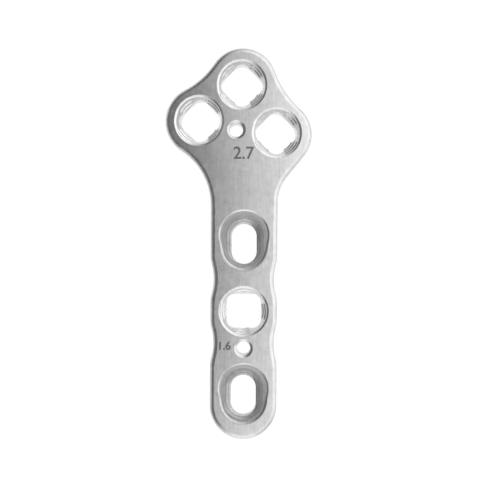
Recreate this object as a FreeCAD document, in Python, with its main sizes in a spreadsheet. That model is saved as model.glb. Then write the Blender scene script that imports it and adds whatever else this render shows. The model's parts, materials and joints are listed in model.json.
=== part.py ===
import FreeCAD, Part
import math
import os
import Sketcher
from FreeCAD import Placement, Rotation, Vector

# Bone plate for levelling the top of the shin bone, right hand, for 2.7 mm screws.
# +Y runs along the shaft to the head, +X to the right seen from above, +Z away from the bone.
# The origin is the axis of the shaft's wire hole, on the plane that the plate lies on.

# name, value in mm or degrees, what it is
sizes = [
    ("plate_thickness", 2.6, "metal between the bone side and the top"),
    ("arch_radius", 50.0, "round of the top across the plate"),
    ("head_rise", 0.7, "how much higher the head lies than the shaft"),
    ("bend_start", 7.0, "where the gentle double bend to the head starts"),
    ("bend_length", 17.0, "length of that double bend"),
    ("top_bevel", 0.3, "bevel along the top edge"),
    ("bevel_blend", 0.5, "round from the top into that bevel"),
    ("under_bevel", 0.15, "bevel along the edges on the bone side"),
    ("rim_bevel", 0.15, "bevel at the top of each screw hole"),
    ("shaft_width", 7.7, "width of the straight shaft"),
    ("end_wall", 2.56, "metal between the lower slot and the round end"),
    ("waist_depth", 0.37, "how far each waist goes in on its side"),
    ("waist_radius", 6.5, "hollow of a waist"),
    ("waist_spacing", 7.36, "waist to waist, centred on the shaft's locking hole"),
    ("shoulder_radius", 4.0, "round between a waist and the straight side"),
    ("mouth_radius", 2.8, "upper cone of a locking hole at the top face"),
    ("throat_radius", 1.9, "where the two cones of a locking hole meet"),
    ("throat_depth", 1.45, "depth of that meeting below the top"),
    ("foot_radius", 2.5, "lower cone of a locking hole at the bone side"),
    ("lip_half", 2.0, "axis to each straight lip of a locking hole"),
    ("relief_radius", 1.0, "round relief between two lips"),
    ("head_lip_turn", 45.0, "turn of the lips in the head's locking holes"),
    ("mid_lip_turn", 0.0, "turn of the lips in the shaft's locking hole"),
    ("wire_radius", 0.8, "hole for a 1.6 mm guide wire"),
    ("sink_radius", 1.1, "countersink of a wire hole at the top face"),
    ("sink_depth", 0.35, "depth of that countersink"),
    ("head_wire_x", -0.98, "wire hole in the head"),
    ("head_wire_y", 25.13, "wire hole in the head"),
    ("top_web", 1.29, "metal between the head's wire hole and its top hole"),
    ("top_bearing", 82.9, "bearing of the top hole from the wire hole"),
    ("top_wall", 1.12, "metal round the mouth of the top hole"),
    ("top_lobe_east", 0.08, "the lobe's centre from the hole's"),
    ("top_lobe_north", 0.29, "the lobe's centre from the hole's"),
    ("left_web", 0.52, "metal between the wire hole and the left hole"),
    ("left_bearing", 166.0, "bearing of the left hole"),
    ("left_wall", 1.17, "metal round the mouth of the left hole"),
    ("left_lobe_east", 0.07, "the lobe's centre from the hole's"),
    ("left_lobe_north", -0.02, "the lobe's centre from the hole's"),
    ("right_web", 0.79, "metal between the wire hole and the right hole"),
    ("right_bearing", -3.7, "bearing of the right hole"),
    ("right_wall", 0.98, "metal round the mouth of the right hole"),
    ("right_lobe_east", 0.27, "the lobe's centre from the hole's"),
    ("right_lobe_north", -0.13, "the lobe's centre from the hole's"),
    ("top_left_hollow", 9.15, "hollow between the top and left lobes"),
    ("top_right_hollow", 10.5, "hollow between the top and right lobes"),
    ("neck_left_radius", 7.7, "hollow from the left lobe to the shaft"),
    ("neck_right_radius", 4.98, "hollow from the right lobe's straight flank to the shaft"),
    ("flank_angle", 51.2, "slope of that flank"),
    ("mid_web", 0.36, "metal between the shaft's wire hole and locking hole"),
    ("upper_web", 2.67, "metal between that locking hole and the upper slot"),
    ("lower_web", 2.15, "metal between the wire hole and the lower slot"),
    ("slot_width", 2.93, "slot for the shank of the screw"),
    ("slot_length", 4.67, "slot for the shank of the screw"),
    ("ball_radius", 2.95, "ball that the head of the screw slides as"),
    ("ball_height", 0.9, "centre of that ball above the top, at the foot of the ramp"),
    ("ball_offset", 0.92, "that centre from the slot's centre, towards the head"),
    ("ramp_angle", 20.0, "slope of the ramp"),
    ("ramp_travel", 1.4, "way along the ramp"),
]

margin = 2.0        # blank beyond the outline
over = 1.0          # cutters beyond a face
bevelShare = 0.6    # most that the top bevel takes of the metal beside a hole

doc = FreeCAD.newDocument("bone_plate")
sheet = doc.addObject("Spreadsheet::Sheet", "sheet")
for row, (name, value, note) in enumerate(sizes, start=1):
    sheet.set("A%d" % row, name)
    sheet.set("B%d" % row, str(value))
    sheet.set("C%d" % row, note)
    sheet.setAlias("B%d" % row, name)
doc.recompute()

body = doc.addObject("PartDesign::Body", "bone_plate")
body.Label = "bone_plate"


def valueOf(expression):
    """What an expression on the sheet comes to, in mm or degrees."""
    result = body.evalExpression(expression)
    return getattr(result, "Value", result)


def newSketch(name, role, offset=(None, None, None), turnAxis=None, turn=None):
    """A sketch on one of the body's own planes, moved and turned in it by expressions on the sheet."""
    sketch = body.newObject("Sketcher::SketchObject", name)
    sketch.AttachmentSupport = [(plane, "") for plane in body.Origin.OriginFeatures if plane.Role == role]
    sketch.MapMode = "FlatFace"
    if turn:
        sketch.AttachmentOffset = Placement(Vector(0, 0, 0), Rotation(turnAxis, 1))
        sketch.setExpression(".AttachmentOffset.Rotation.Angle", turn)
    for letter, expression in zip("xyz", offset):
        if expression:
            sketch.setExpression(".AttachmentOffset.Base." + letter, expression)
    return sketch


def constrain(sketch, kind, *parts):
    return sketch.addConstraint(Sketcher.Constraint(kind, *parts))


def dimension(sketch, name, kind, parts, expression):
    """A dimension of a sketch, bound to the sheet."""
    value = valueOf(expression)
    if kind == "Angle":
        value = math.radians(value)
    sketch.renameConstraint(constrain(sketch, kind, *parts, value), name)
    sketch.setExpression("Constraints." + name, expression)


def place(sketch, name, curve, end, x=None, y=None):
    """Holds a point of a curve at a distance from the sketch's origin."""
    if x:
        dimension(sketch, name + "_x", "DistanceX", (-1, 1, curve, end), x)
    if y:
        dimension(sketch, name + "_y", "DistanceY", (-1, 1, curve, end), y)


def closedLoop(sketch, stretches, smooth=()):
    """Adds curves, each with its entry and exit end, joined end to end, smoothly after those in smooth."""
    numbers = [sketch.addGeometry(curve, False) for curve, _, _ in stretches]
    for k, (_, _, leave) in enumerate(stretches):
        after = (k + 1) % len(stretches)
        kind = "Tangent" if k in smooth else "Coincident"
        constrain(sketch, kind, numbers[k], leave, numbers[after], stretches[after][1])
    return numbers


def straight(first, last):
    return Part.LineSegment(first, last), 1, 2


def arcBetween(centre, radius, first, last):
    start = math.atan2(first.y - centre.y, first.x - centre.x)
    end = math.atan2(last.y - centre.y, last.x - centre.x)
    return Part.ArcOfCircle(Part.Circle(centre, Vector(0, 0, 1), radius), start,
                            end if end > start else end + 2 * math.pi)


def outward(centre, radius, first, last):
    """An arc that goes counter-clockwise, round metal."""
    return arcBetween(centre, radius, first, last), 1, 2


def inward(centre, radius, first, last):
    """An arc that goes clockwise, round a hollow."""
    return arcBetween(centre, radius, last, first), 2, 1


def finish(sketch):
    doc.recompute()
    if sketch.solve() != 0 or not sketch.FullyConstrained:
        raise RuntimeError("the sketch %s is not fully constrained" % sketch.Name)
    return sketch


def cut(kind, name, sketch, **settings):
    """A pocket or groove, with a check that it took metal away."""
    before = body.Shape.Volume
    feature = body.newObject("PartDesign::" + kind, name)
    feature.Profile = sketch
    for key, value in settings.items():
        setattr(feature, key, value)
    doc.recompute()
    if not before - body.Shape.Volume > 0.01:
        raise RuntimeError("%s cuts nothing" % name)
    return feature


# Places and heights, as expressions on the sheet
halfShaft = "(sheet.shaft_width / 2)"
underArch = "(sheet.arch_radius - sheet.plate_thickness)"
shaftFoot = "(%s - sqrt(%s^2 - %s^2))" % (underArch, underArch, halfShaft)
shaftTop = "(%s + sheet.plate_thickness)" % shaftFoot
headTop = "(%s + sheet.head_rise)" % shaftTop
aboveAll = "(%s + %g)" % (headTop, over)
bendRadius = "((sheet.bend_length^2 + sheet.head_rise^2) / (4 * sheet.head_rise))"
midY = "(sheet.sink_radius + sheet.mid_web + sheet.mouth_radius)"
slotY = {
    "upper": "(%s + sheet.mouth_radius + sheet.upper_web + sheet.slot_length / 2)" % midY,
    "lower": "(-sheet.sink_radius - sheet.lower_web - sheet.slot_length / 2)",
}
endY = "(%s - sheet.slot_length / 2 - sheet.end_wall)" % slotY["lower"]
holeX = {"mid": None}
holeY = {"mid": midY}
lobeX, lobeY, lobeRadius = {}, {}, {}
for name in ("top", "left", "right"):
    away = "(sheet.sink_radius + sheet.%s_web + sheet.mouth_radius)" % name
    holeX[name] = "(sheet.head_wire_x + %s * cos(sheet.%s_bearing))" % (away, name)
    holeY[name] = "(sheet.head_wire_y + %s * sin(sheet.%s_bearing))" % (away, name)
    lobeX[name] = "(%s + sheet.%s_lobe_east)" % (holeX[name], name)
    lobeY[name] = "(%s + sheet.%s_lobe_north)" % (holeY[name], name)
    lobeRadius[name] = "(sheet.mouth_radius + sheet.%s_wall)" % name
headEnd = "(%s + %s)" % (lobeY["top"], lobeRadius["top"])
reaches = "%s - %s; %s + %s" % (lobeRadius["left"], lobeX["left"], lobeRadius["right"], lobeX["right"])
blankHalf = "(max(%s) + %g)" % (reaches, margin)
blankBack = "(%g - %s)" % (margin, endY)
blankFront = "(%s + %g)" % (headEnd, margin)

# The blank: an arched strip, bent twice, so gently that head and shaft still lie on one plane
outerRadius = valueOf("sheet.arch_radius")
innerRadius = valueOf(underArch)
half = valueOf(blankHalf)
archCentre = Vector(0, valueOf("%s - %s" % (shaftFoot, underArch)), 0)


def onArch(radius, x):
    return Vector(x, archCentre.y + math.sqrt(radius ** 2 - x ** 2), 0)


topLeft, topRight = onArch(outerRadius, -half), onArch(outerRadius, half)
footLeft, footRight = onArch(innerRadius, -half), onArch(innerRadius, half)
section = newSketch("section", "XZ_Plane", (None, None, blankBack))
topArc, leftLine, underArc, rightLine = closedLoop(section, [
    outward(archCentre, outerRadius, topRight, topLeft),
    straight(topLeft, footLeft),
    inward(archCentre, innerRadius, footLeft, footRight),
    straight(footRight, topRight),
])
constrain(section, "Coincident", topArc, 3, underArc, 3)
constrain(section, "PointOnObject", topArc, 3, -2)
constrain(section, "Vertical", leftLine)
constrain(section, "Vertical", rightLine)
dimension(section, "top_round", "Radius", (topArc,), "sheet.arch_radius")
dimension(section, "under_round", "Radius", (underArc,), underArch)
place(section, "centre", topArc, 3, None, "%s - %s" % (shaftFoot, underArch))
place(section, "right", rightLine, 1, blankHalf)
place(section, "left", leftLine, 1, "-" + blankHalf)
finish(section)

foot, rise = valueOf(shaftFoot), valueOf("sheet.head_rise")
bendStart = Vector(valueOf("sheet.bend_start"), foot, 0)
bendEnd = bendStart + Vector(valueOf("sheet.bend_length"), rise, 0)
bendMiddle = (bendStart + bendEnd) / 2
lift = Vector(0, valueOf(bendRadius), 0)
spine = newSketch("spine", "YZ_Plane")
runs = [
    straight(Vector(-valueOf(blankBack), foot, 0), bendStart),
    outward(bendStart + lift, lift.y, bendStart, bendMiddle),
    inward(bendEnd - lift, lift.y, bendMiddle, bendEnd),
    straight(bendEnd, Vector(valueOf(blankFront), bendEnd.y, 0)),
]
shaftRun, lowBend, highBend, headRun = [spine.addGeometry(curve, False) for curve, _, _ in runs]
constrain(spine, "Tangent", shaftRun, 2, lowBend, 1)
constrain(spine, "Tangent", lowBend, 2, highBend, 2)
constrain(spine, "Tangent", highBend, 1, headRun, 1)
constrain(spine, "Horizontal", shaftRun)
constrain(spine, "Horizontal", headRun)
constrain(spine, "Equal", lowBend, highBend)
place(spine, "start", shaftRun, 1, "-" + blankBack, shaftFoot)
place(spine, "bend", shaftRun, 2, "sheet.bend_start")
place(spine, "finish", headRun, 2, blankFront)
dimension(spine, "bend_length", "DistanceX", (shaftRun, 2, headRun, 1), "sheet.bend_length")
dimension(spine, "head_rise", "DistanceY", (shaftRun, 2, headRun, 1), "sheet.head_rise")
finish(spine)

blank = body.newObject("PartDesign::AdditivePipe", "blank")
blank.Profile = section
blank.Spine = (spine, ["Edge%d" % number for number in range(1, len(runs) + 1)])
doc.recompute()

# The outline, counter-clockwise seen from above, and what the sheet says of each stretch
halfWidth = valueOf(halfShaft)
outlinePath = []
outlineSizes = []


def addStretch(stretch, radius=None, x=None, y=None, angle=None):
    outlinePath.append(stretch)
    outlineSizes.append((radius, x, y, angle))


def touch(first, firstRadius, second, secondRadius):
    """Where two circles that touch from outside meet."""
    return first + (second - first) * (firstRadius / (firstRadius + secondRadius))


def hollowCentre(first, firstRadius, second, secondRadius, radius):
    """Centre of a hollow that touches two lobes, to the right of the way from first to second."""
    way = second - first
    reach = firstRadius + radius
    along = (reach ** 2 - (secondRadius + radius) ** 2 + way.Length ** 2) / (2 * way.Length)
    across = math.sqrt(reach ** 2 - along ** 2)
    way.normalize()
    return first + way * along + Vector(way.y, -way.x, 0) * across


waistFrom = {
    "lower": "(%s - sheet.waist_spacing / 2)" % midY,
    "upper": "(%s + sheet.waist_spacing / 2)" % midY,
}


def shaftSide(sign, order, firstY, lastY):
    """One side of the shaft with its two waists, up on the right (1) or down on the left (-1)."""
    hollow, shoulder = valueOf("sheet.waist_radius"), valueOf("sheet.shoulder_radius")
    depth, between = valueOf("sheet.waist_depth"), hollow + shoulder
    spread = sign * math.sqrt(between ** 2 - (between - depth) ** 2)
    edge = "%d * %s" % (sign, halfShaft)
    pitX = "%d * (%s - sheet.waist_depth + sheet.waist_radius)" % (sign, halfShaft)
    here = Vector(sign * halfWidth, firstY, 0)
    for waist in order:
        pit = Vector(valueOf(pitX), valueOf(waistFrom[waist]), 0)
        before = Vector(sign * (halfWidth - shoulder), pit.y - spread, 0)
        after = Vector(before.x, pit.y + spread, 0)
        start, stop = Vector(here.x, before.y, 0), Vector(here.x, after.y, 0)
        enter, leave = touch(before, shoulder, pit, hollow), touch(after, shoulder, pit, hollow)
        addStretch(straight(here, start), x=edge)
        addStretch(outward(before, shoulder, start, enter), "sheet.shoulder_radius")
        addStretch(inward(pit, hollow, enter, leave), "sheet.waist_radius", pitX, waistFrom[waist])
        addStretch(outward(after, shoulder, leave, stop), "sheet.shoulder_radius")
        here = stop
    addStretch(straight(here, Vector(here.x, lastY, 0)), x=edge)


def lobe(name, first, last):
    stretch = outward(lobeCentre[name], lobeSize[name], first, last)
    addStretch(stretch, lobeRadius[name], lobeX[name], lobeY[name])


lobeCentre = {name: Vector(valueOf(lobeX[name]), valueOf(lobeY[name]), 0) for name in lobeX}
lobeSize = {name: valueOf(lobeRadius[name]) for name in lobeX}
hollowRight, hollowLeft = valueOf("sheet.top_right_hollow"), valueOf("sheet.top_left_hollow")
neckRight, neckLeft = valueOf("sheet.neck_right_radius"), valueOf("sheet.neck_left_radius")

# The straight flank of the right lobe runs on in the hollow of the neck
flank = math.radians(valueOf("sheet.flank_angle"))
flankWay = Vector(math.cos(flank), math.sin(flank), 0)
flankSquare = Vector(flankWay.y, -flankWay.x, 0)
neckRightX = halfWidth + neckRight
flankReach = lobeCentre["right"] + flankSquare * (lobeSize["right"] + neckRight)
neckRightCentre = flankReach - flankWay * ((flankReach.x - neckRightX) / flankWay.x)
flankStart = neckRightCentre - flankSquare * neckRight
flankEnd = lobeCentre["right"] + flankSquare * lobeSize["right"]

# The left neck touches the left lobe and the side of the shaft
neckLeftX = -halfWidth - neckLeft
neckDrop = math.sqrt((lobeSize["left"] + neckLeft) ** 2 - (lobeCentre["left"].x - neckLeftX) ** 2)
neckLeftCentre = Vector(neckLeftX, lobeCentre["left"].y - neckDrop, 0)

rightLobe, topLobe, leftLobe = [(lobeCentre[name], lobeSize[name]) for name in ("right", "top", "left")]
rightPit = hollowCentre(*rightLobe, *topLobe, hollowRight)
leftPit = hollowCentre(*topLobe, *leftLobe, hollowLeft)
rightOut = touch(*rightLobe, rightPit, hollowRight)
topIn = touch(*topLobe, rightPit, hollowRight)
topOut = touch(*topLobe, leftPit, hollowLeft)
leftIn = touch(*leftLobe, leftPit, hollowLeft)
leftOut = touch(*leftLobe, neckLeftCentre, neckLeft)
endCentre = Vector(0, valueOf(endY) + halfWidth, 0)
endRight, endLeft = endCentre + Vector(halfWidth, 0, 0), endCentre - Vector(halfWidth, 0, 0)
shaftRight, shaftLeft = Vector(halfWidth, neckRightCentre.y, 0), Vector(-halfWidth, neckLeftCentre.y, 0)

shaftSide(1, ("lower", "upper"), endRight.y, shaftRight.y)
addStretch(inward(neckRightCentre, neckRight, shaftRight, flankStart), "sheet.neck_right_radius")
addStretch(straight(flankStart, flankEnd), angle="sheet.flank_angle")
lobe("right", flankEnd, rightOut)
addStretch(inward(rightPit, hollowRight, rightOut, topIn), "sheet.top_right_hollow")
lobe("top", topIn, topOut)
addStretch(inward(leftPit, hollowLeft, topOut, leftIn), "sheet.top_left_hollow")
lobe("left", leftIn, leftOut)
addStretch(inward(neckLeftCentre, neckLeft, leftOut, shaftLeft), "sheet.neck_left_radius")
shaftSide(-1, ("upper", "lower"), shaftLeft.y, endLeft.y)
addStretch(outward(endCentre, halfWidth, endLeft, endRight), y="%s + %s" % (endY, halfShaft))

outline = newSketch("outline", "XY_Plane", (None, None, aboveAll))
outlineNumbers = closedLoop(outline, outlinePath, range(len(outlinePath)))
for number, (radius, x, y, angle) in zip(outlineNumbers, outlineSizes):
    isLine = outline.Geometry[number].TypeId == "Part::GeomLineSegment"
    if isLine and x:
        constrain(outline, "Vertical", number)
    if angle:
        dimension(outline, "angle_%d" % number, "Angle", (number,), angle)
    if radius:
        dimension(outline, "radius_%d" % number, "Radius", (number,), radius)
    place(outline, "place_%d" % number, number, 1 if isLine else 3, x, y)

# The metal between the outline and this frame is milled away
frameX = "(%s + %g)" % (blankHalf, margin)
frameSouth, frameNorth = "-%s - %g" % (blankBack, margin), "%s + %g" % (blankFront, margin)
west, east = -valueOf(frameX), valueOf(frameX)
south, north = valueOf(frameSouth), valueOf(frameNorth)
corners = [Vector(west, south, 0), Vector(east, south, 0), Vector(east, north, 0), Vector(west, north, 0)]
frame = closedLoop(outline, [straight(corners[k], corners[(k + 1) % 4]) for k in range(4)])
for number, kind in zip(frame, ("Horizontal", "Vertical", "Horizontal", "Vertical")):
    constrain(outline, kind, number)
place(outline, "south_west", frame[0], 1, "-" + frameX, frameSouth)
place(outline, "north_east", frame[2], 1, frameX, frameNorth)
cut("Pocket", "milled_outline", finish(outline), Type="ThroughAll")


def lowerBeside(x):
    """How much lower the top lies beside the middle line."""
    return "(sheet.arch_radius - sqrt(sheet.arch_radius^2 - %s^2))" % x if x else "0"


def turnedHole(name, x, y, top, corners, tilt=None):
    """A hole turned round its own axis; its corners are (radius, height over the top face)."""
    height = "%s - %s" % (top, lowerBeside(x))
    sketch = newSketch(name, "XZ_Plane", (x, height, "-" + y if y else None), Vector(0, 0, 1), tilt)
    points = [Vector(valueOf(radius), valueOf(up), 0) for radius, up in corners]
    count = len(points)
    lines = closedLoop(sketch, [straight(points[k], points[(k + 1) % count]) for k in range(count)])
    for number, (radius, up) in zip(lines, corners):
        place(sketch, "corner_%d" % number, number, 1, radius, up)
    finish(sketch)
    cut("Groove", name + "_cut", sketch, ReferenceAxis=(sketch, ["V_Axis"]), Angle=360)


# A cone or drill runs on past each face with its own slope
belowFoot = "(-sheet.plate_thickness - %g)" % over
mouthSlope = "(sheet.mouth_radius - sheet.throat_radius) / sheet.throat_depth"
footSlope = "(sheet.foot_radius - sheet.throat_radius) / (sheet.plate_thickness - sheet.throat_depth)"
sinkSlope = "(sheet.sink_radius - sheet.wire_radius) / sheet.sink_depth"
lockingCorners = [
    ("0", "%g" % over),
    ("0", belowFoot),
    ("sheet.foot_radius + %g * %s" % (over, footSlope), belowFoot),
    ("sheet.throat_radius", "-sheet.throat_depth"),
    ("sheet.mouth_radius + %g * %s" % (over, mouthSlope), "%g" % over),
]
wireCorners = [
    ("0", "%g" % over),
    ("0", belowFoot),
    ("sheet.wire_radius", belowFoot),
    ("sheet.wire_radius", "-sheet.sink_depth"),
    ("sheet.sink_radius + %g * %s" % (over, sinkSlope), "%g" % over),
]


def lockingHole(name, turn, top):
    """Two cones that meet at a throat, with four straight lips and round reliefs between them."""
    x, y = holeX[name], holeY[name]
    lean = "asin(%s / sheet.arch_radius)" % x if x else None
    turnedHole(name + "_cones", x, y, top, lockingCorners, "-" + lean if lean else None)

    height = "%s - %s" % (top, lowerBeside(x))
    sketch = newSketch(name + "_lips", "XY_Plane", (x, y, height), Vector(0, 1, 0), lean)
    lip, relief = valueOf("sheet.lip_half"), valueOf("sheet.relief_radius")
    flat = lip - relief
    stretches = []
    for k in range(4):
        facing = Rotation(Vector(0, 0, 1), valueOf(turn) + 90 * k)
        lipStart, lipStop, nextLip, centre = [
            facing.multVec(Vector(*point, 0)) for point in ((lip, -flat), (lip, flat), (flat, lip), (flat, flat))
        ]
        stretches.append(straight(lipStart, lipStop))
        stretches.append(outward(centre, relief, lipStop, nextLip))
    numbers = closedLoop(sketch, stretches, range(len(stretches)))
    lips, reliefs = numbers[0::2], numbers[1::2]
    for k in range(4):
        dimension(sketch, "lip_%d" % k, "Distance", (-1, 1, lips[k]), "sheet.lip_half")
    for k in range(1, 4):
        constrain(sketch, "Equal", reliefs[0], reliefs[k])
        constrain(sketch, "Perpendicular", lips[k - 1], lips[k])
    dimension(sketch, "relief", "Radius", (reliefs[0],), "sheet.relief_radius")
    dimension(sketch, "turn", "Angle", (lips[0],), "%s + 90" % turn)
    cut("Pocket", name + "_lips_cut", finish(sketch), Type="ThroughAll")


def compressionSlot(name):
    """A slot under a ball-shaped seat, whose ramp rises away from the head."""
    y = slotY[name]
    radius = valueOf("sheet.slot_width / 2")
    halfWay = "(sheet.slot_length - sheet.slot_width) / 2"
    northFrom, southFrom = "%s + %s" % (y, halfWay), "%s - %s" % (y, halfWay)
    northEnd, southEnd = Vector(0, valueOf(northFrom), 0), Vector(0, valueOf(southFrom), 0)
    side = Vector(radius, 0, 0)
    slot = newSketch(name + "_slot", "XY_Plane", (None, None, aboveAll))
    right, upper, left, lower = closedLoop(slot, [
        straight(southEnd + side, northEnd + side),
        outward(northEnd, radius, northEnd + side, northEnd - side),
        straight(northEnd - side, southEnd - side),
        outward(southEnd, radius, southEnd - side, southEnd + side),
    ], range(4))
    constrain(slot, "PointOnObject", upper, 3, -2)
    constrain(slot, "Vertical", right)
    constrain(slot, "Vertical", left)
    dimension(slot, "end_round", "Radius", (upper,), "sheet.slot_width / 2")
    place(slot, "upper_end", upper, 3, None, northFrom)
    place(slot, "lower_end", lower, 3, None, southFrom)
    cut("Pocket", name + "_slot_cut", finish(slot), Type="ThroughAll")

    ball, travel = valueOf("sheet.ball_radius"), valueOf("sheet.ramp_travel")
    ballY = "(%s + sheet.ball_offset)" % y
    bent = "(max(%s - sheet.bend_start; 0)^2 / (2 * %s))" % (ballY, bendRadius)
    ballPlace = (ballY, "%s + %s + sheet.ball_height" % (shaftTop, bent), None)
    seat = newSketch(name + "_seat", "YZ_Plane", ballPlace, Vector(0, 0, 1), "180 - sheet.ramp_angle")
    rampEnd = Vector(travel, 0, 0)
    pole, out = Vector(0, ball, 0), Vector(ball, 0, 0)
    axis, far, along, near = closedLoop(seat, [
        straight(-out, rampEnd + out),
        outward(rampEnd, ball, rampEnd + out, rampEnd + pole),
        straight(rampEnd + pole, pole),
        outward(Vector(0, 0, 0), ball, pole, -out),
    ], (1, 2))
    constrain(seat, "Coincident", near, 3, -1, 1)
    constrain(seat, "PointOnObject", far, 3, -1)
    constrain(seat, "PointOnObject", axis, 1, -1)
    constrain(seat, "Horizontal", axis)
    constrain(seat, "Horizontal", along)
    dimension(seat, "ball", "Radius", (near,), "sheet.ball_radius")
    place(seat, "travel", far, 3, "sheet.ramp_travel")
    cut("Groove", name + "_seat_cut", finish(seat), ReferenceAxis=(seat, ["H_Axis"]), Angle=360)


for name in ("top", "left", "right"):
    lockingHole(name, "sheet.head_lip_turn", headTop)
lockingHole("mid", "sheet.mid_lip_turn", shaftTop)
compressionSlot("upper")
compressionSlot("lower")


def archRadiusOf(face):
    """Radius of a face's arch; a tight bend is a turned curve, where a gentle one is a ring."""
    section = getattr(face.Surface, "BasisCurve", face.Surface)
    return getattr(section, "MinorRadius", getattr(section, "Radius", 0))


def isTop(face):
    return abs(archRadiusOf(face) - outerRadius) < 1e-6


def isUnder(face):
    return abs(archRadiusOf(face) - innerRadius) < 1e-6


def isHole(face):
    """Only holes have a cone, a ball or a leaning cylinder."""
    kind = face.Surface.TypeId
    leaning = kind == "Part::GeomCylinder" and abs(face.Surface.Axis.z) < 0.99
    return kind in ("Part::GeomCone", "Part::GeomSphere") or leaning and not isTop(face)


def isWall(face):
    """An upright wall: a plane or a cylinder that stands square to the resting plane."""
    kind = face.Surface.TypeId
    flat = kind == "Part::GeomPlane" and abs(face.Surface.Axis.z) < 0.01
    return flat or kind == "Part::GeomCylinder" and abs(face.Surface.Axis.z) > 0.9999


def isBevel(face):
    """What meets the top at its outline, once that edge is bevelled."""
    return not isTop(face) and not isHole(face)


def isBeside(face):
    return not isUnder(face) and not isTop(face)


def edgesBetween(shape, isFirst, isSecond):
    """Names of the edges where a face of one kind meets a face of the other."""
    names = []
    for number, edge in enumerate(shape.Edges, start=1):
        faces = shape.ancestorsOfType(edge, Part.Face)
        if len(faces) == 2 and any(isFirst(a) and isSecond(b) for a, b in (faces, faces[::-1])):
            names.append("Edge%d" % number)
    return names


def dress(kind, name, isFirst, isSecond, setting, size):
    """A bevel or round along every edge between two kinds of face."""
    base = body.Tip
    feature = body.newObject("PartDesign::" + kind, name)
    feature.Base = (base, edgesBetween(base.Shape, isFirst, isSecond))
    feature.setExpression(setting, size)
    doc.recompute()


# The bevel of the top edge and its blend stay within the metal beside each mouth and seat
besideHoles = [
    "sheet.{0}_wall - sqrt(sheet.{0}_lobe_east^2 + sheet.{0}_lobe_north^2)".format(name) for name in lobeX
] + ["%s - sqrt(sheet.ball_radius^2 - sheet.ball_height^2)" % halfShaft]
room = "(min(%s) - sheet.rim_bevel)" % "; ".join(besideHoles)
bevel = "min(sheet.top_bevel; %g * %s)" % (bevelShare, room)
blend = "min(sheet.bevel_blend; (%s - %s) / tan(22.5))" % (room, bevel)
dress("Chamfer", "top_bevel", isTop, isWall, "Size", bevel)
dress("Fillet", "bevel_blend", isTop, isBevel, "Radius", blend)
dress("Chamfer", "rims", isTop, isHole, "Size", "sheet.rim_bevel")

# The countersink is what breaks the edge of a wire hole
turnedHole("head_wire", "sheet.head_wire_x", "sheet.head_wire_y", headTop, wireCorners)
turnedHole("shaft_wire", None, None, shaftTop, wireCorners)
dress("Chamfer", "under_bevel", isUnder, isBeside, "Size", "sheet.under_bevel")

doc.recompute()
for item in doc.Objects:
    if "Invalid" in item.State or "Error" in item.State:
        raise RuntimeError("%s has failed" % item.Name)
if body.Shape.isNull() or not body.Shape.isValid() or len(body.Shape.Solids) != 1:
    raise RuntimeError("the plate is not one valid solid")
os.makedirs("parts", exist_ok=True)
body.Shape.exportStep("parts/%s.step" % body.Label)
print(body.Label, "volume %.2f mm3" % body.Shape.Volume, "faces", len(body.Shape.Faces))
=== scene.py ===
import bmesh
import bpy
import json
import math
from mathutils import Matrix, Vector
from mathutils.bvhtree import BVHTree


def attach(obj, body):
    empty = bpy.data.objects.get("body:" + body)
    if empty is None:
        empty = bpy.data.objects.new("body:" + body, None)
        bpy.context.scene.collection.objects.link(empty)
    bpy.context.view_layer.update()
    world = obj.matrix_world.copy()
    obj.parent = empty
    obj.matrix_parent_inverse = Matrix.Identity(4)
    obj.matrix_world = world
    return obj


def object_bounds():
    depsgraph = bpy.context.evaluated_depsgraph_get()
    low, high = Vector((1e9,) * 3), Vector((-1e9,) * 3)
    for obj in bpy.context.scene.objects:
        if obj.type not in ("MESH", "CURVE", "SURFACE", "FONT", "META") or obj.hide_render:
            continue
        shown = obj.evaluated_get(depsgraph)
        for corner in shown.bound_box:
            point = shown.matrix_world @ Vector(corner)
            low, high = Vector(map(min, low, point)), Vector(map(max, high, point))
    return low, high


# Steel bone plate lying on a white table, seen from straight above with its head up.
# Lengths are in metres and angles in degrees, unless a line says otherwise.
# North is the way of the head and east the right, as in the picture.

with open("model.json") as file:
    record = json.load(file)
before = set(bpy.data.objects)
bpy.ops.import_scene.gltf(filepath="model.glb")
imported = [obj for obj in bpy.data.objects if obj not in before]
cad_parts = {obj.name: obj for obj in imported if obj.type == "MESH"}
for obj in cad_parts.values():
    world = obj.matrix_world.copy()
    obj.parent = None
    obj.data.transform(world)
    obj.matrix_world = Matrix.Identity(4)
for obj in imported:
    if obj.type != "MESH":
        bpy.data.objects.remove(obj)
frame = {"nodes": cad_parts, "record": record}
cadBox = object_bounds()
plate = frame["nodes"]["bone_plate"]
mounts = {mount["name"]: mount for mount in frame["record"]["mounts"]}
scene = bpy.context.scene
mmInMetre = 1000
print("frame loaded, with", len(mounts), "mounts")


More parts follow.
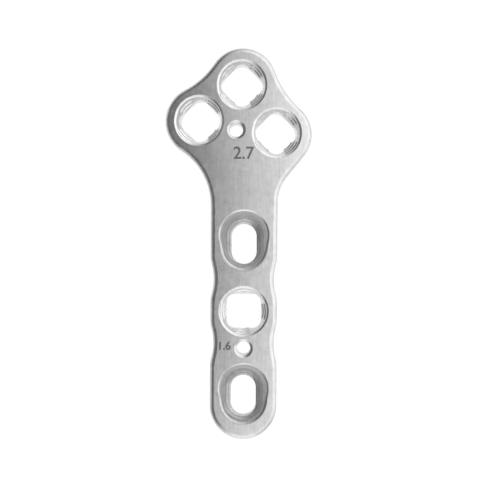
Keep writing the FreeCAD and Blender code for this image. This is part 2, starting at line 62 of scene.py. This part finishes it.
# A number in a node tree that can be reckoned with
class Value:
    def __init__(self, tree, socket):
        self.tree = tree
        self.socket = socket

    def maths(self, operation, *operands):
        node = self.tree.node("ShaderNodeMath", {"operation": operation}, operands)
        return Value(self.tree, node.outputs[0])

    def __add__(self, other):
        return self.maths("ADD", self, other)

    def __radd__(self, other):
        return self.maths("ADD", other, self)

    def __sub__(self, other):
        return self.maths("SUBTRACT", self, other)

    def __rsub__(self, other):
        return self.maths("SUBTRACT", other, self)

    def __mul__(self, other):
        return self.maths("MULTIPLY", self, other)

    def __rmul__(self, other):
        return self.maths("MULTIPLY", other, self)

    def __truediv__(self, other):
        return self.maths("DIVIDE", self, other)

    def __rtruediv__(self, other):
        return self.maths("DIVIDE", other, self)

    def __neg__(self):
        return self.maths("MULTIPLY", self, -1)

    def __gt__(self, other):
        return self.maths("GREATER_THAN", self, other)

    def __lt__(self, other):
        return self.maths("LESS_THAN", self, other)

    def size(self):
        return self.maths("ABSOLUTE", self)

    def sine(self):
        return self.maths("SINE", self)

    def root(self):
        return self.maths("SQRT", self)

    def larger(self, other):
        return self.maths("MAXIMUM", self, other)

    def smaller(self, other):
        return self.maths("MINIMUM", self, other)


# A node tree of any kind, with one way to add any node
class Tree:
    def __init__(self, nodeTree):
        self.nodeTree = nodeTree
        nodeTree.nodes.clear()

    def node(self, kind, settings=None, inputs=()):
        made = self.nodeTree.nodes.new(kind)
        for name, value in (settings or {}).items():
            if name == "stops":
                self.setStops(made.color_ramp.elements, value)
            else:
                setattr(made, name, value)
        pairs = inputs.items() if isinstance(inputs, dict) else enumerate(inputs)
        for key, value in pairs:
            self.feed(made.inputs[key], value)
        return made

    def setStops(self, points, stops):
        while len(points) < len(stops):
            points.new(0.5)
        for point, (where, colour) in zip(points, stops):
            point.position = where
            point.color = colour

    def feed(self, socket, value):
        if isinstance(value, Value):
            value = value.socket
        if isinstance(value, bpy.types.NodeSocket):
            self.nodeTree.links.new(value, socket)
        else:
            socket.default_value = value

    def value(self, kind, settings=None, inputs=()):
        return Value(self, self.node(kind, settings, inputs).outputs[0])

    def noise(self, place, scale, detail):
        return self.value("ShaderNodeTexNoise", None, {
            "Vector": place,
            "Scale": scale,
            "Detail": detail,
        })


def newMaterial(name):
    material = bpy.data.materials.new(name)
    material.use_nodes = True
    return material, Tree(material.node_tree)


# An object of the part, with its mesh in place, that moves with the plate
def addPiece(name, mesh, material):
    mesh.materials.clear()
    mesh.materials.append(material)
    piece = bpy.data.objects.new(name, mesh)
    scene.collection.objects.link(piece)
    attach(piece, "root")
    return piece


# A flat sheet with four corners, for what stands round the part
def addSheet(name, corners, material):
    mesh = bpy.data.meshes.new(name)
    mesh.from_pydata(corners, [], [(0, 1, 2, 3)])
    mesh.materials.append(material)
    sheet = bpy.data.objects.new(name, mesh)
    scene.collection.objects.link(sheet)
    return sheet


# Camera: square to the table and turned a little, as the plate leans in the picture
camera = {
    "over": Vector((0.00069, 0.01135, 0.1142)),
    "field": 0.0579,            # width of the picture at the height of the plate's top
    "top": 0.0022,
    "turn": 0.34,
    "sensor": 36,               # mm
    "nearest": 0.005,
}
cameraData = bpy.data.cameras.new("camera")
cameraData.sensor_width = camera["sensor"]
cameraData.lens = camera["sensor"] * (camera["over"].z - camera["top"]) / camera["field"]
cameraData.clip_start = camera["nearest"]
cameraObject = bpy.data.objects.new("camera", cameraData)
cameraObject.location = camera["over"]
cameraObject.rotation_euler = (0, 0, math.radians(camera["turn"]))
scene.collection.objects.link(cameraObject)
scene.camera = cameraObject
print("camera placed")

# Steel: milled, fine blasted and tumbled, with the cutter's rings left in the ball-shaped seats
steel = {
    "colour": 0.62,
    "colourSpread": 0.20,
    "roughness": 0.30,
    "roughnessSpread": 0.10,
    "mottle": 1700,             # patches to a metre
    "mottleDetail": 3,
    "grain": 5200,              # specks to a metre
    "grainDetail": 2,
    "brush": (5200, 420, 5200),  # streaks that run along the plate
    "brushDetail": 2,
    "grainHeight": 0.0000016,
    "holeHighlightRadius": 0.0028,        # the locking holes, brightened as a painted highlight
    "paintedHoleHighlight": 0.11,
    "seatPaintedShade": -0.10,        # painted shade darkens the seats' colour; they are also a little rougher
    "seatRoughness": 0.10,
    "seatRadius": 0.00285,
    "seatNorth": 0.00092,       # ends of the ball's way, from the slot's centre
    "seatSouth": -0.00040,
    "ringPitch": 0.00034,
    "ringHeight": 0.0000065,
    "sinkRadius": 0.0011,       # mouths of the wire holes, tumbled softer than cut
    "sinkSoftness": 0.41,       # as the slope that the bump takes off
    "sinkAbove": 0.0015,        # height over the table, since the far mouth stays as cut
}
slots = mounts["compression_slots"]
slotReach = slots["dims"]["spacing_y_mm"] / 2 / mmInMetre
steelMaterial, tree = newMaterial("satin_steel")
place = tree.node("ShaderNodeTexCoord").outputs["Object"]
stretch = tree.node("ShaderNodeMapping", None, {"Vector": place, "Scale": steel["brush"]})
mottle = tree.noise(place, steel["mottle"], steel["mottleDetail"])
grain = tree.noise(place, steel["grain"], steel["grainDetail"])
brush = tree.noise(stretch.outputs[0], 1, steel["brushDetail"])
noiseMiddle = 0.5
mottleSwing, grainSwing, brushSwing = mottle - noiseMiddle, grain - noiseMiddle, brush - noiseMiddle
tone = steel["colour"] + mottleSwing * steel["colourSpread"] + brushSwing * steel["colourSpread"]
rough = steel["roughness"] + (mottleSwing + grainSwing) * steel["roughnessSpread"]
height = (grain + brush) * steel["grainHeight"]

# Rings round the way of the ball that cut each seat, and painted shade darkening each seat
parts = tree.node("ShaderNodeSeparateXYZ", None, [place]).outputs
acrossPlate, alongPlate, upFromTable = [Value(tree, output) for output in parts]
for side in (-1, 1):
    slotY = slots["pos_m"][1] + side * slotReach
    north, south = slotY + steel["seatNorth"], slotY + steel["seatSouth"]
    beyond = alongPlate - alongPlate.smaller(north).larger(south)
    fromWay = (acrossPlate * acrossPlate + beyond * beyond).root()
    inSeat = fromWay < steel["seatRadius"]
    # Painted shade: each seat's colour is darkened as a recess in shade, while its greater
    # roughness is the real blasted finish
    tone = tone + inSeat * steel["seatPaintedShade"]
    rough = rough + inSeat * steel["seatRoughness"]
    rings = (fromWay * (2 * math.pi / steel["ringPitch"])).sine() * inSeat
    height = height + rings * steel["ringHeight"]

# Softer mouths of the wire holes, and a painted highlight in the locking holes
for name, mount in mounts.items():
    aside, ahead = acrossPlate - mount["pos_m"][0], alongPlate - mount["pos_m"][1]
    fromHole = (aside * aside + ahead * ahead).root()
    if name.endswith("wire_hole"):
        mouth = fromHole.smaller(steel["sinkRadius"]) * (upFromTable > steel["sinkAbove"])
        height = height - mouth * steel["sinkSoftness"]
    elif name.endswith("locking_hole"):
        # Painted highlight: the colour is lifted inside each locking hole, standing in for light
        # reflected off its lips
        tone = tone + (fromHole < steel["holeHighlightRadius"]) * steel["paintedHoleHighlight"]
colour = tree.node("ShaderNodeCombineColor", None, [tone, tone, tone])
bump = tree.node("ShaderNodeBump", None, {"Strength": 1, "Distance": 1, "Height": height})
shader = tree.node("ShaderNodeBsdfPrincipled", None, {
    "Base Color": colour.outputs[0],
    "Metallic": 1,
    "Roughness": rough,
    "Normal": bump.outputs[0],
})
tree.node("ShaderNodeOutputMaterial", None, [shader.outputs[0]])
plate.data.materials.clear()
plate.data.materials.append(steelMaterial)
print("steel made")

# Thread on the four lips of a locking hole: it winds down the upper cone and stops at each relief
thread = {
    "mouthRadius": 0.0028,      # the cone at the top face
    "coneSlope": 0.6207,        # how fast the cone narrows with depth
    "topDepth": 0.0002,
    "pitch": 0.0004,
    "turns": 2.5,               # from one relief to another
    "sunk": 0.00006,            # middle of the ridge, behind the cone's face
    "ridgeHalf": 0.00016,
    "flank": 38,
    "lipHalf": 0.0020,
    "lipSpan": 27,              # each side of a lip's middle
    "lipsMadeAt": 45,           # where the node group makes the lips: on the diagonals
    "taper": 0.0004,            # run-out of a ridge, measured into the lip
    "thinnest": 0.05,           # share of the ridge that is left at its very end
    "pointsInTurn": 90,
    "crease": 40,
}
lipTurns = {
    "top_locking_hole": 45,
    "left_locking_hole": 45,
    "right_locking_hole": 45,
    "shaft_locking_hole": 0,
}


def makeThreadGroup():
    group = bpy.data.node_groups.new("thread", "GeometryNodeTree")
    tree = Tree(group)
    kinds = {
        "Top Radius": "NodeSocketFloat",
        "Foot Radius": "NodeSocketFloat",
        "Top Depth": "NodeSocketFloat",
        "Foot Depth": "NodeSocketFloat",
        "Turns": "NodeSocketFloat",
        "Ridge Width": "NodeSocketFloat",
        "Ridge Rise": "NodeSocketFloat",
        "Lip Half": "NodeSocketFloat",
        "Lip Slope": "NodeSocketFloat",
        "Taper": "NodeSocketFloat",
        "Material": "NodeSocketMaterial",
    }
    for name, kind in kinds.items():
        group.interface.new_socket(name, in_out="INPUT", socket_type=kind)
    group.interface.new_socket("Geometry", in_out="OUTPUT", socket_type="NodeSocketGeometry")
    given = tree.node("NodeGroupInput").outputs
    topDepth, footDepth = Value(tree, given["Top Depth"]), Value(tree, given["Foot Depth"])
    spiral = tree.node("GeometryNodeCurveSpiral", None, {
        "Resolution": thread["pointsInTurn"],
        "Rotations": given["Turns"],
        "Start Radius": given["Foot Radius"],
        "End Radius": given["Top Radius"],
        "Height": footDepth - topDepth,
    })
    down = tree.node("ShaderNodeCombineXYZ", None, {"Z": -footDepth})
    sunk = tree.node("GeometryNodeSetPosition", None, {
        "Geometry": spiral.outputs[0],
        "Offset": down.outputs[0],
    })
    wire = tree.node("GeometryNodeCurveToMesh", None, {"Curve": sunk.outputs[0]})

    # A point is on a lip where it is far out and near the lip's middle line, which is a diagonal
    spot = tree.node("GeometryNodeInputPosition").outputs[0]
    across = tree.node("ShaderNodeSeparateXYZ", None, [spot]).outputs
    east, north = Value(tree, across[0]).size(), Value(tree, across[1]).size()
    diagonal = math.sqrt(0.5)
    out, aside = (east + north) * diagonal, (east - north).size() * diagonal
    inside = out * Value(tree, given["Lip Slope"]) - aside
    offLip = (out < given["Lip Half"]).larger(inside < 0)
    thickness = (inside / Value(tree, given["Taper"])).larger(thread["thinnest"]).smaller(1)
    cutWire = tree.node("GeometryNodeDeleteGeometry", {"domain": "POINT"}, {
        "Geometry": wire.outputs[0],
        "Selection": offLip,
    })
    runs = tree.node("GeometryNodeMeshToCurve", None, {"Mesh": cutWire.outputs[0]})
    upright = tree.node("GeometryNodeSetCurveNormal", {"mode": "Z_UP"}, [runs.outputs[0]])
    profile = tree.node("GeometryNodeCurvePrimitiveQuadrilateral", {"mode": "KITE"}, {
        "Width": given["Ridge Width"],
        "Bottom Height": given["Ridge Rise"],
        "Top Height": given["Ridge Rise"],
    })
    ridges = tree.node("GeometryNodeCurveToMesh", None, {
        "Curve": upright.outputs[0],
        "Profile Curve": profile.outputs[0],
        "Scale": thickness,
        "Fill Caps": True,
    })
    real = tree.node("GeometryNodeRealizeInstances", None, [ridges.outputs[0]])
    painted = tree.node("GeometryNodeSetMaterial", None, {
        "Geometry": real.outputs[0],
        "Material": given["Material"],
    })
    tree.node("NodeGroupOutput", None, [painted.outputs[0]])
    return group


def makeThread(name, lipTurn, group):
    carrier = bpy.data.objects.new(name, bpy.data.meshes.new(name))
    scene.collection.objects.link(carrier)
    modifier = carrier.modifiers.new("thread", "NODES")
    modifier.node_group = group
    footDepth = thread["topDepth"] + thread["turns"] * thread["pitch"]
    behind = thread["mouthRadius"] + thread["sunk"]
    values = {
        "Top Radius": behind - thread["topDepth"] * thread["coneSlope"],
        "Foot Radius": behind - footDepth * thread["coneSlope"],
        "Top Depth": thread["topDepth"],
        "Foot Depth": footDepth,
        "Turns": thread["turns"],
        "Ridge Width": 2 * thread["ridgeHalf"],
        "Ridge Rise": thread["ridgeHalf"] * math.tan(math.radians(thread["flank"])),
        "Lip Half": thread["lipHalf"],
        "Lip Slope": math.tan(math.radians(thread["lipSpan"])),
        "Taper": thread["taper"],
        "Material": steelMaterial,
    }
    for item in group.interface.items_tree:
        if item.in_out == "INPUT":
            modifier[item.identifier] = values[item.name]
    bpy.context.view_layer.update()
    graph = bpy.context.evaluated_depsgraph_get()
    mesh = bpy.data.meshes.new_from_object(carrier.evaluated_get(graph))
    bpy.data.objects.remove(carrier)

    # The thread stands on the hole's own axis
    mount = mounts[name]
    lean = Vector((0, 0, 1)).rotation_difference(Vector(mount["axis"])).to_matrix().to_4x4()
    turn = Matrix.Rotation(math.radians(lipTurn - thread["lipsMadeAt"]), 4, "Z")
    mesh.transform(Matrix.Translation(mount["pos_m"]) @ lean @ turn)
    mesh.shade_smooth()
    mesh.set_sharp_from_angle(angle=math.radians(thread["crease"]))
    piece = addPiece(name.replace("hole", "thread"), mesh, steelMaterial)
    return len(piece.data.polygons)


threadGroup = makeThreadGroup()
faceCount = sum(makeThread(name, lipTurn, threadGroup) for name, lipTurn in lipTurns.items())
print("threads made,", faceCount, "faces")

# Etched size marks: plain digits that say which screws and which wires the plate takes
etching = {
    "proud": 0.000008,          # over the plate's face
    "thick": 0.000030,
    "colour": 0.18,
    "roughness": 0.5,
    "curveSteps": 4,
    "castFrom": 0.001,          # above the plate, to find its face under each point
    "mergeWithin": 0.0000001,
}
screwMark = {
    "text": "2.7",
    "middle": Vector((-0.00008, 0.02248)),
    "height": 0.00145,
    "boldness": 0.012,          # as a share of the type's size
}
wireMark = {
    "text": "1.6",
    "middle": Vector((-0.00213, 0.00030)),
    "height": 0.00100,
    "boldness": 0.030,
}
markMaterial, tree = newMaterial("etched_steel")
dark = etching["colour"]
shader = tree.node("ShaderNodeBsdfPrincipled", None, {
    "Base Color": (dark, dark, dark, 1),
    "Metallic": 1,
    "Roughness": etching["roughness"],
})
tree.node("ShaderNodeOutputMaterial", None, [shader.outputs[0]])
plateTree = BVHTree.FromPolygons(
    [vertex.co for vertex in plate.data.vertices],
    [polygon.vertices for polygon in plate.data.polygons],
)


def makeMark(name, mark):
    letters = bpy.data.curves.new(name, "FONT")
    letters.body = mark["text"]
    letters.size = 1            # brought to its real size below
    letters.offset = mark["boldness"]
    letters.extrude = 0.5
    letters.resolution_u = etching["curveSteps"]
    writer = bpy.data.objects.new(name, letters)
    scene.collection.objects.link(writer)
    bpy.context.view_layer.update()
    graph = bpy.context.evaluated_depsgraph_get()
    mesh = bpy.data.meshes.new_from_object(writer.evaluated_get(graph))
    bpy.data.objects.remove(writer)
    xs = [vertex.co.x for vertex in mesh.vertices]
    ys = [vertex.co.y for vertex in mesh.vertices]
    scale = mark["height"] / (max(ys) - min(ys))
    centre = Vector(((max(xs) + min(xs)) / 2, (max(ys) + min(ys)) / 2))

    # The digits follow the arch of the plate
    for vertex in mesh.vertices:
        flat = mark["middle"] + (vertex.co.xy - centre) * scale
        above = Vector((flat.x, flat.y, cadBox[1].z + etching["castFrom"]))
        surface = plateTree.ray_cast(above, Vector((0, 0, -1)))[0]
        top = vertex.co.z > 0
        vertex.co = surface + Vector((0, 0, etching["proud"] - (0 if top else etching["thick"])))
    work = bmesh.new()
    work.from_mesh(mesh)
    bmesh.ops.remove_doubles(work, verts=work.verts, dist=etching["mergeWithin"])
    bmesh.ops.recalc_face_normals(work, faces=work.faces)
    work.to_mesh(mesh)
    work.free()
    addPiece(name, mesh, markMaterial)


makeMark("screw_mark", screwMark)
makeMark("wire_mark", wireMark)
print("marks made")

# Table: plain white, and lit so that it stays white under the plate
table = {
    "half": 0.6,
    "colour": 0.10,
    "glow": 0.97,
}
half, pale = table["half"], table["colour"]
corners = [(-half, -half, 0), (half, -half, 0), (half, half, 0), (-half, half, 0)]
tableMaterial, tree = newMaterial("white_table")
paint = tree.node("ShaderNodeBsdfDiffuse", None, {"Color": (pale, pale, pale, 1)})
glow = tree.node("ShaderNodeEmission", None, {"Strength": table["glow"]})
both = tree.node("ShaderNodeAddShader", None, [paint.outputs[0], glow.outputs[0]])
tree.node("ShaderNodeOutputMaterial", None, [both.outputs[0]])
tableObject = addSheet("table", corners, tableMaterial)
print("table made")

# Light panel overhead, beyond the foot of the plate: it brightens the shaft's free end
panel = {
    "west": -0.09,
    "east": 0.40,
    "south": -0.50,
    "north": -0.060,
    "up": 0.30,
    "glow": 1.25,
}
west, east, south, north, up = [panel[side] for side in ("west", "east", "south", "north", "up")]
corners = [(west, south, up), (west, north, up), (east, north, up), (east, south, up)]
panelMaterial, tree = newMaterial("lit_panel")
glow = tree.node("ShaderNodeEmission", None, {"Strength": panel["glow"]})
tree.node("ShaderNodeOutputMaterial", None, [glow.outputs[0]])
panelObject = addSheet("panel", corners, panelMaterial)
panelObject.visible_camera = False
print("panel made")

# Studio: the sky goes from dark in the west to bright in the east, and its ends count as east too
studio = {
    "endPull": 1.0,
    "northDrop": 1.2,           # taken off low in the north
    "southDip": 0.6,            # taken off towards the south
    "southLift": 1.4,           # and given back beyond southFrom
    "southFrom": 0.3,
    "endsMost": 0.6,
    "steps": {                  # brightness, from west (-1) to east (1)
        -1.00: 0.22, -0.45: 0.15, -0.25: 0.29, -0.13: 0.42, -0.05: 0.79, 0.04: 0.94,
        0.12: 0.80, 0.18: 0.95, 0.26: 1.25, 0.38: 1.50, 0.86: 1.50, 0.94: 1.30, 1.00: 0.75,
    },
}
world = bpy.data.worlds.new("studio")
scene.world = world
world.use_nodes = True
tree = Tree(world.node_tree)
direction = tree.node("ShaderNodeTexCoord").outputs["Generated"]
parts = tree.node("ShaderNodeSeparateXYZ", None, [direction]).outputs
east, north, up = [Value(tree, output) for output in parts]
ends = north * north * studio["endPull"] - north.larger(0) * (1 - up) * studio["northDrop"]
ends = ends - (-north).larger(0) * studio["southDip"]
ends = ends + (-north - studio["southFrom"]).larger(0) * studio["southLift"]
pull = east + ends.smaller(studio["endsMost"])
brightest = max(studio["steps"].values())
stops = []
for where, level in sorted(studio["steps"].items()):
    share = level / brightest
    stops.append((where * 0.5 + 0.5, (share, share, share, 1)))
sky = tree.node("ShaderNodeValToRGB", {"stops": stops}, [pull * 0.5 + 0.5])
background = tree.node("ShaderNodeBackground", None, {
    "Color": sky.outputs[0],
    "Strength": brightest,
})
tree.node("ShaderNodeOutputWorld", None, [background.outputs[0]])
scene.view_settings.view_transform = "Standard"
print("studio made")
